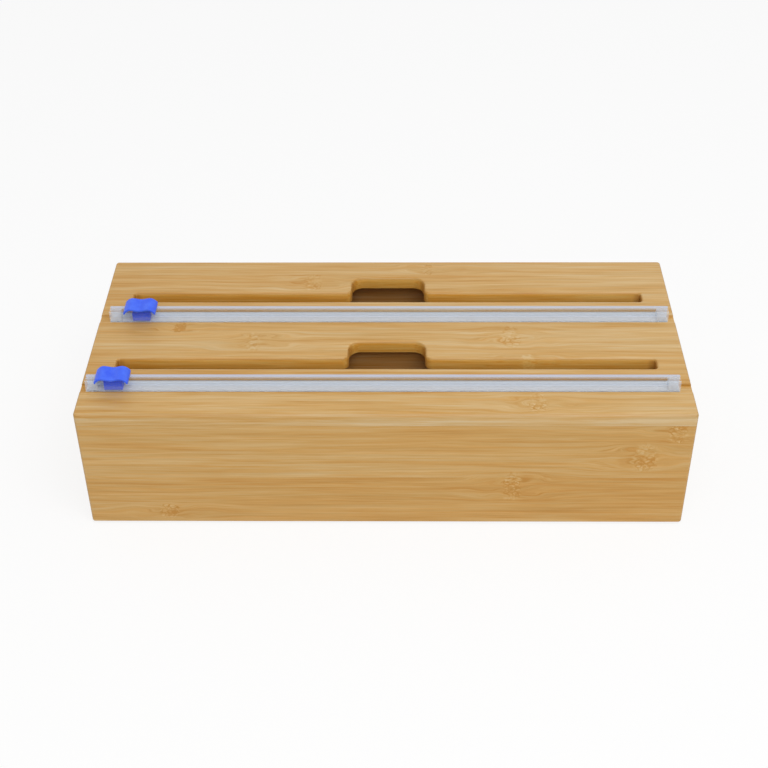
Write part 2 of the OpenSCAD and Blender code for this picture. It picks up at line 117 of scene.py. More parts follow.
class Finish:
    """A material in the making: its node tree and its main shader.

    Colours are linear red, green and blue.
    """

    def __init__(self, name):
        self.material = bpy.data.materials.new(name)
        self.material.use_nodes = True
        self.tree = self.material.node_tree
        self.shader = self.tree.nodes["Principled BSDF"]

    def node(self, kind, settings=None, inputs=None, out=0):
        """Adds a node: first its settings, then the values or links of its sockets."""
        made = self.tree.nodes.new(kind)
        for key, setting in (settings or {}).items():
            if key == "stops":
                self.fill_ramp(made.color_ramp, setting)
            else:
                setattr(made, key, setting)
        for key, given in (inputs or {}).items():
            self.feed(made.inputs[key], given)
        return Value(self, made.outputs[out])

    def feed(self, socket, given):
        """Links a value to a socket, or sets a number or a colour on it."""
        if isinstance(given, Value):
            self.tree.links.new(given.socket, socket)
        elif socket.type == "RGBA":
            socket.default_value = (*given, 1.0)
        else:
            socket.default_value = given

    def fill_ramp(self, ramp, stops):
        while len(ramp.elements) < len(stops):
            ramp.elements.new(1.0)
        for element, (position, colour) in zip(ramp.elements, stops):
            element.position = position
            element.color = (*colour, 1.0)

    def math(self, operation, *values):
        return self.node("ShaderNodeMath", {"operation": operation}, dict(enumerate(values)))

    def set(self, **inputs):
        """Sets or links sockets of the main shader, with _ for each space in a socket's name."""
        for key, given in inputs.items():
            self.feed(self.shader.inputs[key.replace("_", " ")], given)

    def vector(self, x, y, z):
        return self.node("ShaderNodeCombineXYZ", inputs={"X": x, "Y": y, "Z": z})

    def parts(self, vector):
        """A vector's X, Y and Z."""
        split = self.node("ShaderNodeSeparateXYZ", inputs={"Vector": vector}).socket.node
        return [Value(self, output) for output in split.outputs]

    def place(self):
        """The point's X, Y and Z on the object, in millimetres."""
        return [part / MM for part in self.parts(self.node("ShaderNodeTexCoord", out="Object"))]

    def facing(self):
        """The surface's own direction on the object, as X, Y and Z."""
        return self.parts(self.node("ShaderNodeTexCoord", out="Normal"))

    def noise(self, x, y, z, detail=2.0, distortion=0.0):
        """Smooth noise from about -0.5 to 0.5, with features about 1 long in x, y and z."""
        inputs = {"Vector": self.vector(x, y, z), "Scale": 1.0, "Detail": detail, "Distortion": distortion}
        return self.node("ShaderNodeTexNoise", inputs=inputs) - 0.5

    def streaks(self, size, along, **options):
        """Noise drawn out along one axis, with a length and a width in millimetres."""
        length, width = size
        sizes = [length if axis == along else width for axis in (X, Y, Z)]
        return self.noise(*[part / wide for part, wide in zip(self.place(), sizes)], **options)

    def specks(self, size, **options):
        """Noise of one size in every direction, in millimetres."""
        return self.streaks((size, size), X, **options)

    def cell_edges(self, x, y, z):
        """Distance to the nearest border between cells of about 1 in x, y and z."""
        inputs = {"Vector": self.vector(x, y, z), "Scale": 1.0}
        return self.node("ShaderNodeTexVoronoi", {"feature": "DISTANCE_TO_EDGE"}, inputs, out="Distance")

    def chance(self, number):
        """A random value from 0 to 1 that belongs to a whole number."""
        return self.node("ShaderNodeTexWhiteNoise", {"noise_dimensions": "1D"}, {"W": number})

    def ramp(self, factor, stops):
        return self.node("ShaderNodeValToRGB", {"stops": stops}, {"Fac": factor})

    def blotches(self, noise, first, second, start=0.3):
        """Two colours that follow a noise."""
        return self.ramp(0.5 + noise, [(start, first), (0.7, second)])

    def mix(self, factor, first, second, blend="MIX"):
        """A colour between two colours."""
        settings = {"data_type": "RGBA", "blend_type": blend}
        return self.node("ShaderNodeMix", settings, {0: factor, 6: first, 7: second}, out=2)

    def tinted(self, colour, tint, where=1.0):
        """A colour that is multiplied by a tint where a mask is 1."""
        return self.mix(where, colour, tint, "MULTIPLY")

    def seen(self):
        """1 for what the camera sees, in mirrors and glass too, and 0 for the light on other things."""
        path = self.node("ShaderNodeLightPath").socket.node
        camera, glossy, refracted = (Value(self, path.outputs["Is %s Ray" % kind])
                                     for kind in ("Camera", "Glossy", "Transmission"))
        return camera.larger(glossy).larger(refracted)

    def bump(self, height, distance, strength):
        """Relief: height runs over about 1, and stands for distance in metres."""
        inputs = {"Height": height, "Distance": distance, "Strength": strength}
        self.set(Normal=self.node("ShaderNodeBump", None, inputs))


class Sky(Finish):
    """The light from all around, made in the same way."""

    def __init__(self, name):
        self.world = bpy.data.worlds.new(name)
        self.world.use_nodes = True
        self.tree = self.world.node_tree
        self.shader = self.tree.nodes["Background"]


def rgb(red, green, blue):
    """A display colour from 0 to 255 as the linear colour that nodes use."""
    def linear(level):
        level = level / 255
        return level / 12.92 if level <= 0.04045 else ((level + 0.055) / 1.055) ** 2.4
    return (linear(red), linear(green), linear(blue))


def scaled(colour, factor):
    """A paler or darker colour."""
    return tuple(min(1.0, factor * level) for level in colour)


# Bamboo: lengths are in millimetres, and a size is a length along the fibres and a width across them

STRIP_WIDTH = 20.0
STRIP_OFFSET = 400.0
SEED_OFFSET = 31.0
WANDER_SIZE = (110.0, 30.0)
WANDER_REACH = 4.0
EDDY_SIZE = (24.0, 7.0)
EDDY_REACH = 12.0
BAND_SIZE = (130.0, 4.5)
FIBRE_SIZE = (55.0, 1.3)
HAIR_SIZE = (18.0, 0.42)
HUE_SIZE = (90.0, 1.7)
HUE_OFFSET = 33.0
HUE_CONTRAST = 2.4
FLECK_SIZE = (3.6, 2.2)
CELL_SIZE = (3.4, 2.3)
CELL_BEND = (6.0, 3.0)
OUTLINE_EDGE = (0.02, 0.2)
OUTLINE_GAPS = (-0.15, 0.15)
OUTLINE_FLECKS = 0.6
TONGUE_SIZE = (21.0, 1.1)
TONGUE_EDGE = (-0.02, 0.2)
DOT_SIZE = (8.0, 0.8)
DOT_EDGE = (0.02, 0.2)

# How much each layer changes the tone, which runs from 0, dark, to 1, light
STRIP_TONE = 0.35
BAND_TONE = 1.2
FIBRE_TONE = 1.15
HAIR_TONE = 0.75
FLECK_TONE = 1.7
KNUCKLE_TONE = 0.1
OUTLINE_TONE = 0.6
FLAME_TONE = 0.4

# The outline of a knuckle, the flames beside it and the fibres that bend round it
RAGGED_SIZE = (9.0, 2.2)
RAGGED_REACH = 8.0
CROOKED_SIZE = (6.0, 6.0)
CROOKED_OFFSET = 40.0
CROOKED_REACH = 6.0
KNUCKLE_EDGE = (0.5, 1.3)
FLANK_EDGE = (0.7, 1.3)
FLAME_START = (0.05, 0.2)
FLAME_END = (0.3, 1.0)
SWAY_LENGTH = 48.0
SPREAD = 0.4

# Colours of the fibres and of cut ends, and what the colour is multiplied by in some places: tints for the
# wood's own tone and for painted light and shade
BAMBOO_DARK = rgb(190, 138, 59)
BAMBOO_MID = rgb(204, 163, 101)
BAMBOO_LIGHT = rgb(214, 186, 143)
CUT_PALE = rgb(190, 147, 86)
CUT_DARK = rgb(156, 110, 56)
WARM_TINT = (1.045, 1.01, 0.95)
COOL_TINT = (0.955, 0.99, 1.06)
# painted shade on the rounded edges of the slots and notches and on their walls, to dull the highlight on
# the rounding
ROUNDED_SHADE_TINT = (0.85, 0.75, 0.5)
# painted light on the walls of the slots and notches, brighter and more orange as if lit by light bounced
# between them
ROUTED_BOUNCE_LIGHT_TINT = (1.63, 1.65, 1.42)
# painted shade, darker towards the foot of the slot walls
ROUTED_FOOT_SHADE_TINT = (0.84, 0.81, 0.78)
# painted shade in the corners at the ends of the slots
SLOT_END_SHADE_TINT = (0.74, 0.67, 0.65)
# painted shade on the lid's rounded outer edge and its upright edge faces
RIM_SHADE_TINT = (0.85, 0.825, 0.77)
EDGE_TINT = (1.2, 1.29, 1.52)
# painted shade inside the box: inward faces of the boards, the base panel and the divider
INNER_SHADE_TINT = (0.88, 0.755, 0.675)
LID_TINT = (0.99, 0.952, 0.81)
FRONT_TINT = (1.0, 0.94, 0.735)

# Limits on a face's direction: 0 for a face that lies along the axis and 1 for one that is square to it
CUT_FACING = (0.6, 0.9)
ROUNDED_FACING = (0.7, 0.98)
ROUTED_FACING = (0.0, 0.6)
RIM_FACING = (0.85, 0.99)
EDGE_FACING = (0.05, 0.4)

# A face's distance from the middle of the box, negative where the face looks toward the middle; painted
# shade falls on faces that look inward
INWARD_EDGE = (-20.0, -5.0)

# The lid's own edge, and the distances from the end of a slot over which painted shade darkens its walls
LID_RIM = 6.0
LID_RIM_FADE = 0.5
SLOT_END_FADE = (5.0, 1.0)

# How far below the bottom of the box the first strip of a board begins
FRONT_STRIP_DROP = 4.5
BACK_STRIP_DROP = 9.0
END_STRIP_DROP = 6.0


def grain(finish, size, place, start=0.0, **options):
    """Noise drawn out along the fibres, at a place along and across them and through the board."""
    length, width = size
    along, across, through = place
    return finish.noise(along / length + start, across / width, through / width, **options)


def knuckle_masks(finish, place, knuckles):
    """Where knuckles lie, how dark they are, the flames beside them, and how fibres sway and spread there.

    A knuckle is given by its place along and across the fibres, its size in the same directions,
    the length of the flames on one side of it and its darkness.
    """
    u, v = place[:2]
    inside = darks = flames = sways = spreads = u * 0.0
    ragged = grain(finish, RAGGED_SIZE, place) * RAGGED_REACH
    crooked = grain(finish, CROOKED_SIZE, place, CROOKED_OFFSET) * CROOKED_REACH
    for middle, centre, length, width, tail, darkness in knuckles:
        reach = abs(u + ragged - middle) / (length / 2)
        side = abs(v + crooked - centre) / (width / 2)
        covered = (reach ** 2 + side ** 4).fall(*KNUCKLE_EDGE)
        inside = inside.larger(covered)
        darks = darks + covered * darkness
        flank = (abs(v - centre) / (width / 2)).fall(*FLANK_EDGE)
        outward = (u - middle) / tail
        flames = flames.larger(flank * outward.rise(*FLAME_START) * outward.fall(*FLAME_END))
        sway = flank * (abs(u - middle) / SWAY_LENGTH).fall(0.0, 1.0)
        sways = sways.larger(sway)
        spreads = spreads + sway * (v - centre) * SPREAD
    return inside, darks, flames, sways, spreads


def cell_outlines(finish, place, eddy, flecks):
    """Broken outlines of the small cells in a knuckle."""
    u, v, w = place
    length, width = CELL_SIZE
    bend_along, bend_across = CELL_BEND
    along = (u + eddy * bend_along) / length
    across = (v + flecks * bend_across) / width
    edges = finish.cell_edges(along, across, w / width)
    return edges.fall(*OUTLINE_EDGE) * (eddy + flecks * OUTLINE_FLECKS).rise(*OUTLINE_GAPS)


def inner_shade_faces(finish, colour, place, facing, flat):
    """Darkens with painted shade the faces of a board that look into the box."""
    # painted shade on faces that look into the box
    inward_shade = (place[flat] * facing[flat]).fall(*INWARD_EDGE)
    return finish.tinted(colour, INNER_SHADE_TINT, inward_shade)


def lid_faces(finish, colour, place, facing, flat):
    """Tints the rounded edges and walls of the slots and notches with painted light and shade, and tints
    the edge round the lid, whose rounding gets painted shade.
    """
    low, high = (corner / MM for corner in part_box("lid_panel"))
    slot_end = max(x for loop in slot_loops() for x, y in loop) / MM
    within = 1.0
    for axis in (X, Y):
        first, last = low[axis] + LID_RIM, high[axis] - LID_RIM
        within = place[axis].rise(first, first + LID_RIM_FADE) * within
        within = place[axis].fall(last - LID_RIM_FADE, last) * within
    level = abs(facing[flat])
    wall = within * level.fall(*ROUTED_FACING)
    # painted shade, darker towards the foot of the walls
    foot_shade = wall * place[flat].fall(low[flat], high[flat])
    # painted shade near the ends of the slots
    corner = wall * abs(place[X]).rise(*[slot_end - distance for distance in SLOT_END_FADE])
    outside = 1 - within
    # painted shade on the rounded edges and walls of the slots and notches
    colour = finish.tinted(colour, ROUNDED_SHADE_TINT, within * level.fall(*ROUNDED_FACING))
    # painted light bounced between the walls of the slots and notches
    colour = finish.tinted(colour, ROUTED_BOUNCE_LIGHT_TINT, wall)
    colour = finish.tinted(colour, ROUTED_FOOT_SHADE_TINT, foot_shade)
    colour = finish.tinted(colour, SLOT_END_SHADE_TINT, corner)
    # painted shade on the lid's rounded rim
    colour = finish.tinted(colour, RIM_SHADE_TINT, outside * level.fall(*RIM_FACING))
    return finish.tinted(colour, EDGE_TINT, outside * level.fall(*EDGE_FACING))


def bamboo(name, along, across, first_strip, knuckles, seed, tint=None, contrast=1.0, drift=0.0,
           faces=inner_shade_faces):
    """Laminated bamboo: strips side by side, long fibres, and knuckles.

    The fibres run along one axis and the strips lie side by side across it, from the first strip on.
    Drift is the change of tone for each millimetre along the fibres.
    """
    finish = Finish(name)
    place = finish.place()
    facing = finish.facing()
    flat = X + Y + Z - along - across
    straight = (place[along], place[across], place[flat])
    u, v, w = straight
    luck = finish.chance(((v - first_strip) / STRIP_WIDTH).floor() + seed)
    shift = luck * STRIP_OFFSET + seed * SEED_OFFSET
    knuckle, dark, flame, sway, spread = knuckle_masks(finish, straight, knuckles)
    wander = grain(finish, WANDER_SIZE, straight, shift, detail=1.0)
    eddy = grain(finish, EDDY_SIZE, straight, shift, detail=1.0)
    lane = v - spread + wander * WANDER_REACH + sway * eddy * EDDY_REACH
    swayed = (u, lane, w)
    bands = grain(finish, BAND_SIZE, swayed, shift)
    fibres = grain(finish, FIBRE_SIZE, swayed, shift)
    hairs = grain(finish, HAIR_SIZE, swayed, shift, detail=1.0)
    hue = grain(finish, HUE_SIZE, swayed, shift + HUE_OFFSET)
    flecks = grain(finish, FLECK_SIZE, straight, shift, detail=1.0, distortion=1.2)
    tongues = grain(finish, TONGUE_SIZE, swayed, shift, detail=1.5, distortion=0.4).rise(*TONGUE_EDGE)
    outlines = cell_outlines(finish, straight, eddy, flecks)
    figure = (luck - 0.5) * STRIP_TONE + bands * BAND_TONE + fibres * FIBRE_TONE + hairs * HAIR_TONE
    mottle = knuckle * (flecks * FLECK_TONE + KNUCKLE_TONE - outlines * OUTLINE_TONE)
    tone = 0.5 + figure * contrast + u * drift + mottle - dark - flame * tongues * FLAME_TONE
    colour = finish.ramp(tone, [(0.0, BAMBOO_DARK), (0.5, BAMBOO_MID), (1.0, BAMBOO_LIGHT)])
    colour = finish.tinted(colour, finish.mix(0.5 + hue * HUE_CONTRAST, WARM_TINT, COOL_TINT))
    cut = abs(facing[along]).rise(*CUT_FACING)
    dots = grain(finish, DOT_SIZE, straight, detail=1.0).rise(*DOT_EDGE)
    colour = finish.mix(cut, colour, finish.mix(dots, CUT_PALE, CUT_DARK))
    # faces adds painted light and shade by where a face lies and looks
    colour = faces(finish, colour, place, facing, flat)
    if tint:
        colour = finish.tinted(colour, tint)
    finish.set(Base_Color=colour)
    finish.set(Roughness=0.46 + fibres * 0.12 + cut * 0.15 + knuckle * 0.05)
    finish.set(IOR=1.45, Coat_Weight=0.15, Coat_Roughness=0.3)
    finish.bump(fibres * 0.6 + hairs * 0.4 + knuckle * flecks * 1.2, 0.1 * MM, 0.3)
    return finish.material


def plain_wood(name, colour, along):
    """Turned wood that is seldom seen."""
    finish = Finish(name)
    fibres = finish.streaks((60.0, 1.2), along)
    finish.set(Base_Color=finish.blotches(fibres, scaled(colour, 0.72), colour, start=0.25))
    finish.set(Roughness=0.62 + fibres * 0.15)
    finish.bump(fibres, 0.1 * MM, 0.4)
    return finish.material


# Plastics, metals, rubber and tape: lengths are in millimetres

DRAWN_LINE_SIZE = (120.0, 1.5)
CLOUD_SIZE = (18.0, 4.0)
RAIL_CLEAR = rgb(238, 247, 255)
RAIL_LIP_MILK = rgb(195, 213, 240)
RAIL_WALL_MILK = rgb(219, 228, 239)
RAIL_FLOOR_MILK = rgb(222, 226, 234)
RAIL_SHADE = rgb(104, 112, 124)
STOP_CLEAR = rgb(226, 236, 252)
SLIDER_DEEP = rgb(56, 96, 246)
SLIDER_BRIGHT = rgb(76, 118, 255)
# painted light: a deeper blue for the slider's shaded neck, lit by light scattered through the plastic
SLIDER_SCATTERED_LIGHT_BLUE = rgb(20, 84, 255)

# Heights above the rail's underside and distances behind its middle, between which a zone begins or ends
RAIL_FLOOR_TOP = (1.5, 2.5)
RAIL_MILK_TOP = (3.2, 3.7)
RAIL_FRONT_MILK_TOP = (3.8, 5.6)
RAIL_SHADE_TOP = (6.6, 6.9)
RAIL_LIP_FOOT = (6.5, 7.5)
RAIL_REAR_LIP = (1.0, 1.4)
RAIL_REAR_WALL = (2.4, 2.65)
RAIL_FRONT_LIP = (-2.9, -2.5)
RAIL_FRONT_WALL = (-3.0, -2.6)

# Opacity of the clear plastics, and what is added to it in some places
RAIL_HAZE = 0.04
RAIL_FRONT_LIP_HAZE = 0.14
RAIL_FRONT_WALL_HAZE = 0.09
RAIL_REAR_LIP_HAZE = 0.64
RAIL_REAR_WALL_HAZE = 0.8
RAIL_FLOOR_HAZE = 0.55
RAIL_SHADE_HAZE = 0.18
STOP_HAZE = 0.08
STOP_FROST = 0.38

# Limits on a face's direction, and the height over which a slider's colour changes to its painted deeper
# blue
UPWARD = (0.4, 0.9)
FORWARD = (0.5, 0.9)
SLIDER_FADE = 0.5


def clear_plastic(name):
    """A clear extrusion or moulding with drawing lines along its length and faint clouds."""
    finish = Finish(name)
    lines = finish.streaks(DRAWN_LINE_SIZE, X, detail=1.0)
    clouds = finish.streaks(CLOUD_SIZE, X)
    finish.set(Roughness=0.2 + lines * 0.06 + clouds * 0.05, IOR=1.49)
    finish.bump(lines, 0.005 * MM, 0.1)
    return finish


def rail_plastic(name, rail):
    """Clear plastic that is milky on its lips, on its floor and in the lower half of its walls.

    The upper half of the rear wall lies in the shade of the lip.
    """
    low, high = (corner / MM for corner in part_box(rail))
    finish = clear_plastic(name)
    place = finish.place()
    behind = place[Y] - (low.y + high.y) / 2
    height = place[Z] - low.z
    upward = finish.facing()[Z].rise(*UPWARD)
    lip = upward * height.rise(*RAIL_LIP_FOOT)
    front_lip = lip * behind.fall(*RAIL_FRONT_LIP)
    rear_lip = lip * behind.rise(*RAIL_REAR_LIP)
    floor = upward * height.fall(*RAIL_FLOOR_TOP)
    rear_wall = behind.rise(*RAIL_REAR_WALL)
    milky_wall = rear_wall * height.fall(*RAIL_MILK_TOP)
    shaded_wall = rear_wall * height.rise(*RAIL_MILK_TOP) * height.fall(*RAIL_SHADE_TOP)
    front_wall = behind.fall(*RAIL_FRONT_WALL) * height.fall(*RAIL_FRONT_MILK_TOP)
    colour = RAIL_CLEAR
    haze = RAIL_HAZE + front_lip * RAIL_FRONT_LIP_HAZE + front_wall * RAIL_FRONT_WALL_HAZE
    for zone, zone_colour, zone_haze in (
            (rear_lip, RAIL_LIP_MILK, RAIL_REAR_LIP_HAZE),
            (milky_wall, RAIL_WALL_MILK, RAIL_REAR_WALL_HAZE),
            (floor, RAIL_FLOOR_MILK, RAIL_FLOOR_HAZE),
            (shaded_wall, RAIL_SHADE, RAIL_SHADE_HAZE)):
        colour = finish.mix(zone, colour, zone_colour)
        haze = haze + zone * zone_haze
    finish.set(Base_Color=colour, Alpha=haze)
    return finish.material


def stop_plastic(name):
    """Clear plastic whose front face is frosted."""
    finish = clear_plastic(name)
    clouds = finish.streaks(CLOUD_SIZE, X)
    frosted = (-finish.facing()[Y]).rise(*FORWARD)
    finish.set(Base_Color=finish.blotches(clouds, STOP_CLEAR, scaled(STOP_CLEAR, 1.05)))
    finish.set(Alpha=STOP_HAZE + frosted * STOP_FROST)
    return finish.material


def blue_plastic(name):
    """Bright blue moulding with a fine satin texture; inside the rail a deeper painted blue stands in for
    light scattered through the plastic into its shaded neck.
    """
    finish = Finish(name)
    fine = finish.specks(0.35)
    rail_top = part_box("front_cutter_rail")[1].z / MM
    # painted light: a deeper blue below the rail's top, standing in for light scattered into the shaded
    # neck
    inside = finish.place()[Z].fall(rail_top - SLIDER_FADE, rail_top)
    outside_blue = finish.blotches(finish.specks(6.0), SLIDER_DEEP, SLIDER_BRIGHT)
    finish.set(Base_Color=finish.mix(inside, outside_blue, SLIDER_SCATTERED_LIGHT_BLUE))
    finish.set(Roughness=0.45 + fine * 0.1, IOR=1.46, Specular_IOR_Level=0.35)
    finish.bump(fine, 0.02 * MM, 0.3)
    return finish.material


def brushed_metal(name, colour, roughness):
    """Metal with fine brush marks from left to right."""
    finish = Finish(name)
    marks = finish.streaks((9.0, 0.12), X)
    finish.set(Base_Color=finish.blotches(marks, scaled(colour, 0.8), colour))
    finish.set(Metallic=1.0, Roughness=roughness + marks * 0.16)
    finish.bump(marks, 0.01 * MM, 0.3)
    return finish.material


def speckled(name, colour, roughness, speck_size, relief):
    """A matt surface with a fine grain, for rubber and foam."""
    finish = Finish(name)
    specks = finish.specks(speck_size, detail=3.0)
    finish.set(Base_Color=finish.blotches(specks, colour, scaled(colour, 1.25)))
    finish.set(Roughness=roughness + specks * 0.1)
    finish.bump(specks, relief, 0.5)
    return finish.material


# Edges

SHARP = math.radians(35)
FLAT = math.radians(0.5)
WELD = 0.002 * MM
FINE = 0.12 * MM
FITTED_REACH = 0.5 * MM
BEVEL_STEPS = 3


def welded(node):
    """A copy of a CAD node's mesh in which faces share their points."""
    shape = bmesh.new()
    shape.from_mesh(frame["nodes"][node].data)
    bmesh.ops.remove_doubles(shape, verts=shape.verts, dist=WELD)
    return shape


def crease(shape):
    """Smooth shading, with a crease at every edge that turns sharply."""
    for face in shape.faces:
        face.smooth = True
    for edge in shape.edges:
        edge.smooth = edge.calc_face_angle(0.0) < SHARP


def softened(node, top, bottom, side, fitted):
    """A copy of a CAD node, in its place, with its outward edges rounded.

    Edges in the node's top plane take the first radius, those in its bottom plane the second and
    all others the third. Edges beside a fitted node stay crisp.
    """
    shape = welded(node)
    bmesh.ops.dissolve_limit(shape, angle_limit=FLAT, verts=shape.verts, edges=shape.edges)
    crease(shape)
    low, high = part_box(node)
    widest = max(top, bottom, side)
    weights = shape.edges.layers.float.new("bevel_weight_edge")
    for edge in shape.edges:
        if edge.smooth or not edge.is_convex:
            continue
        heights = [vert.co.z for vert in edge.verts]
        radius = side
        if min(heights) > high.z - FINE:
            radius = top
        elif max(heights) < low.z + FINE:
            radius = bottom
        middle = (edge.verts[0].co + edge.verts[1].co) / 2
        if any(beside(middle, other) for other in fitted):
            radius = FINE
        edge[weights] = radius / widest
    mesh = bpy.data.meshes.new(node + "_finish")
    shape.to_mesh(mesh)
    shape.free()
    piece = stand_in(bpy.data.objects.new(node + "_finish", mesh), node)
    rounding = piece.modifiers.new("rounded_edges", "BEVEL")
    rounding.limit_method = "WEIGHT"
    rounding.width = widest
    rounding.segments = BEVEL_STEPS
    rounding.use_clamp_overlap = False
    rounding.harden_normals = True
    return piece


def beside(point, node):
    """Whether a point lies in a node's box or close to it."""
    low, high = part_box(node)
    return all(low[axis] - FITTED_REACH < point[axis] < high[axis] + FITTED_REACH for axis in (X, Y, Z))


def stand_in(piece, node):
    """Puts a piece in the place of a CAD node."""
    bpy.context.scene.collection.objects.link(piece)
    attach(piece, NODE_BODIES[node])
    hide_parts(node)
    return piece


def wear(thing, material):
    thing.data.materials.clear()
    thing.data.materials.append(material)


# The lid, carved from a rounded slab

LID_EDGE = 1.0 * MM
SLOT_EDGE = 1.8 * MM
LID_FRONT_EDGE = 3.5 * MM
LID_CORNER = 2.0 * MM
FRONT_EASE = 9.0 * MM
SEAM_EDGE = 0.02 * MM
SEAM_SHUT = 0.14 * MM
SEAT_GAP = 0.2 * MM
GLUE_GAP = 0.1 * MM
LEAF_THICKNESS = 1.0 * MM
LID_END_MARGIN = 5.0 * MM
OVERCUT = 1.0 * MM
FLARE_LIFT = 0.01 * MM
ARC_STEPS = 8
MAGNET_STEPS = 48


def ring_solid(name, rings):
    """A closed solid through rings of points, from the lowest ring to the highest."""
    count = len(rings[0])
    points = [point for ring in rings for point in ring]
    faces = [tuple(range(count - 1, -1, -1)), tuple(range(len(points) - count, len(points)))]
    for first in range(0, len(points) - count, count):
        for step in range(count):
            after = (step + 1) % count
            faces.append((first + step, first + after, first + count + after, first + count + step))
    mesh = bpy.data.meshes.new(name)
    mesh.from_pydata(points, [], faces)
    made = bpy.data.objects.new(name, mesh)
    bpy.context.scene.collection.objects.link(made)
    return made


def lid_outline(low, high):
    """Points round the lid, anticlockwise: (x, y, outward x, outward y, radius of the top edge)."""
    outline = []
    for side_x, side_y, start in ((-1, -1, 180), (1, -1, 270), (1, 1, 0), (-1, 1, 90)):
        centre_x = (high.x if side_x > 0 else low.x) - side_x * LID_CORNER
        centre_y = (high.y if side_y > 0 else low.y) - side_y * LID_CORNER
        for step in range(ARC_STEPS + 1):
            angle = math.radians(start + 90 * step / ARC_STEPS)
            out_x, out_y = math.cos(angle), math.sin(angle)
            x, y = centre_x + LID_CORNER * out_x, centre_y + LID_CORNER * out_y
            radius = LID_EDGE + (LID_CORNER - LID_EDGE) * max(0.0, -out_y)
            outline.append((x, y, out_x, out_y, radius))
        if (side_x, side_y) == (-1, -1):
            outline.extend(front_edge_points(low, high))
    return outline


def front_edge_points(low, high):
    """Points along the lid's front, where the edge radius grows from the corners to the full one."""
    left, right = low.x + LID_CORNER, high.x - LID_CORNER
    eases = []
    for step in range(1, ARC_STEPS + 1):
        share = step / ARC_STEPS
        radius = LID_CORNER + (LID_FRONT_EDGE - LID_CORNER) * math.sin(share * math.pi / 2)
        eases.append((FRONT_EASE * share, radius))
    points = [(left + ease, low.y, 0.0, -1.0, radius) for ease, radius in eases]
    return points + [(right - ease, low.y, 0.0, -1.0, radius) for ease, radius in reversed(eases)]


def lid_slab(low, high):
    """The lid's board before anything is cut into it, with rounded top edges."""
    outline = lid_outline(low, high)

    def ring(height_of, inset_of):
        return [(x - out_x * inset_of(radius), y - out_y * inset_of(radius), height_of(radius))
                for x, y, out_x, out_y, radius in outline]

    rings = [ring(lambda radius: low.z, lambda radius: SEAM_EDGE),
             ring(lambda radius: low.z + SEAM_EDGE, lambda radius: 0.0)]
    for step in range(ARC_STEPS + 1):
        angle = math.pi / 2 * step / ARC_STEPS
        rings.append(ring(lambda radius: high.z - radius * (1 - math.sin(angle)),
                          lambda radius: radius * (1 - math.cos(angle))))
    return ring_solid("lid_slab", rings)


def slot_loops():
    """The outlines of the two slots with their notches, anticlockwise, from the CAD lid's top plane."""
    shape = welded("lid_panel")
    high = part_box("lid_panel")[1]
    rims = {}
    for edge in shape.edges:
        in_top = all(vert.co.z > high.z - FINE for vert in edge.verts)
        inner = all(abs(vert.co.x) < high.x - LID_END_MARGIN for vert in edge.verts)
        if in_top and inner and edge.calc_face_angle(0.0) > SHARP:
            for vert in edge.verts:
                rims.setdefault(vert, []).append(edge.other_vert(vert))
    loops = []
    while rims:
        here = next(iter(rims))
        loop = []
        while here in rims:
            loop.append((here.co.x, here.co.y))
            neighbours = rims.pop(here)
            here = next((vert for vert in neighbours if vert in rims), None)
        loops.append(loop if loop_area(loop) > 0 else loop[::-1])
    shape.free()
    return loops


def loop_area(loop):
    return sum(a[X] * b[Y] - b[X] * a[Y] for a, b in zip(loop, loop[1:] + loop[:1])) / 2


def widened(loop, distance, height):
    """A loop of points at a height, moved outward by a distance."""
    moved = []
    for before, here, after in zip(loop[-1:] + loop[:-1], loop, loop[1:] + loop[:1]):
        normals = []
        for start, end in ((before, here), (here, after)):
            along = Vector((end[X] - start[X], end[Y] - start[Y])).normalized()
            normals.append(Vector((along.y, -along.x)))
        both = (normals[0] + normals[1]) / (1 + normals[0].dot(normals[1]))
        moved.append((here[X] + both.x * distance, here[Y] + both.y * distance, height))
    return moved


def slot_cutter(loop, low, high):
    """What is cut out of the lid for one slot, flared at the top to round the slot's edge."""
    rings = [widened(loop, SEAM_EDGE + OVERCUT, low.z - OVERCUT), widened(loop, 0.0, low.z + SEAM_EDGE)]
    for step in range(ARC_STEPS):
        angle = math.pi / 2 * step / ARC_STEPS
        rings.append(widened(loop, SLOT_EDGE * (1 - math.cos(angle)),
                             high.z - SLOT_EDGE * (1 - math.sin(angle))))
    rings.append(widened(loop, SLOT_EDGE, high.z + FLARE_LIFT))
    rings.append(widened(loop, SLOT_EDGE, high.z + OVERCUT))
    return ring_solid("slot_cutter", rings)


def box_cutter(x, y, z):
    """A plain block between pairs of limits."""
    corners = [(x[0], y[0]), (x[1], y[0]), (x[1], y[1]), (x[0], y[1])]
    return ring_solid("box_cutter", [[(*corner, height) for corner in corners] for height in z])


def rail_seat_cutter(rail, tape, low, high):
    """The seat of one cutter rail, open at both ends of the lid."""
    rail_low, rail_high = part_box(rail)
    return box_cutter((low.x - OVERCUT, high.x + OVERCUT),
                      (rail_low.y - SEAT_GAP, rail_high.y + SEAT_GAP),
                      (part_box(tape)[0].z, high.z + OVERCUT))


def hinge_seat_cutter(leaf, low, high):
    """The seat of one hinge leaf in the lid's underside, open at the back."""
    leaf_low, leaf_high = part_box(leaf)
    return box_cutter((leaf_low.x - GLUE_GAP, leaf_high.x + GLUE_GAP),
                      (leaf_low.y - GLUE_GAP, high.y + OVERCUT),
                      (low.z - OVERCUT, low.z + SEAM_SHUT + LEAF_THICKNESS))


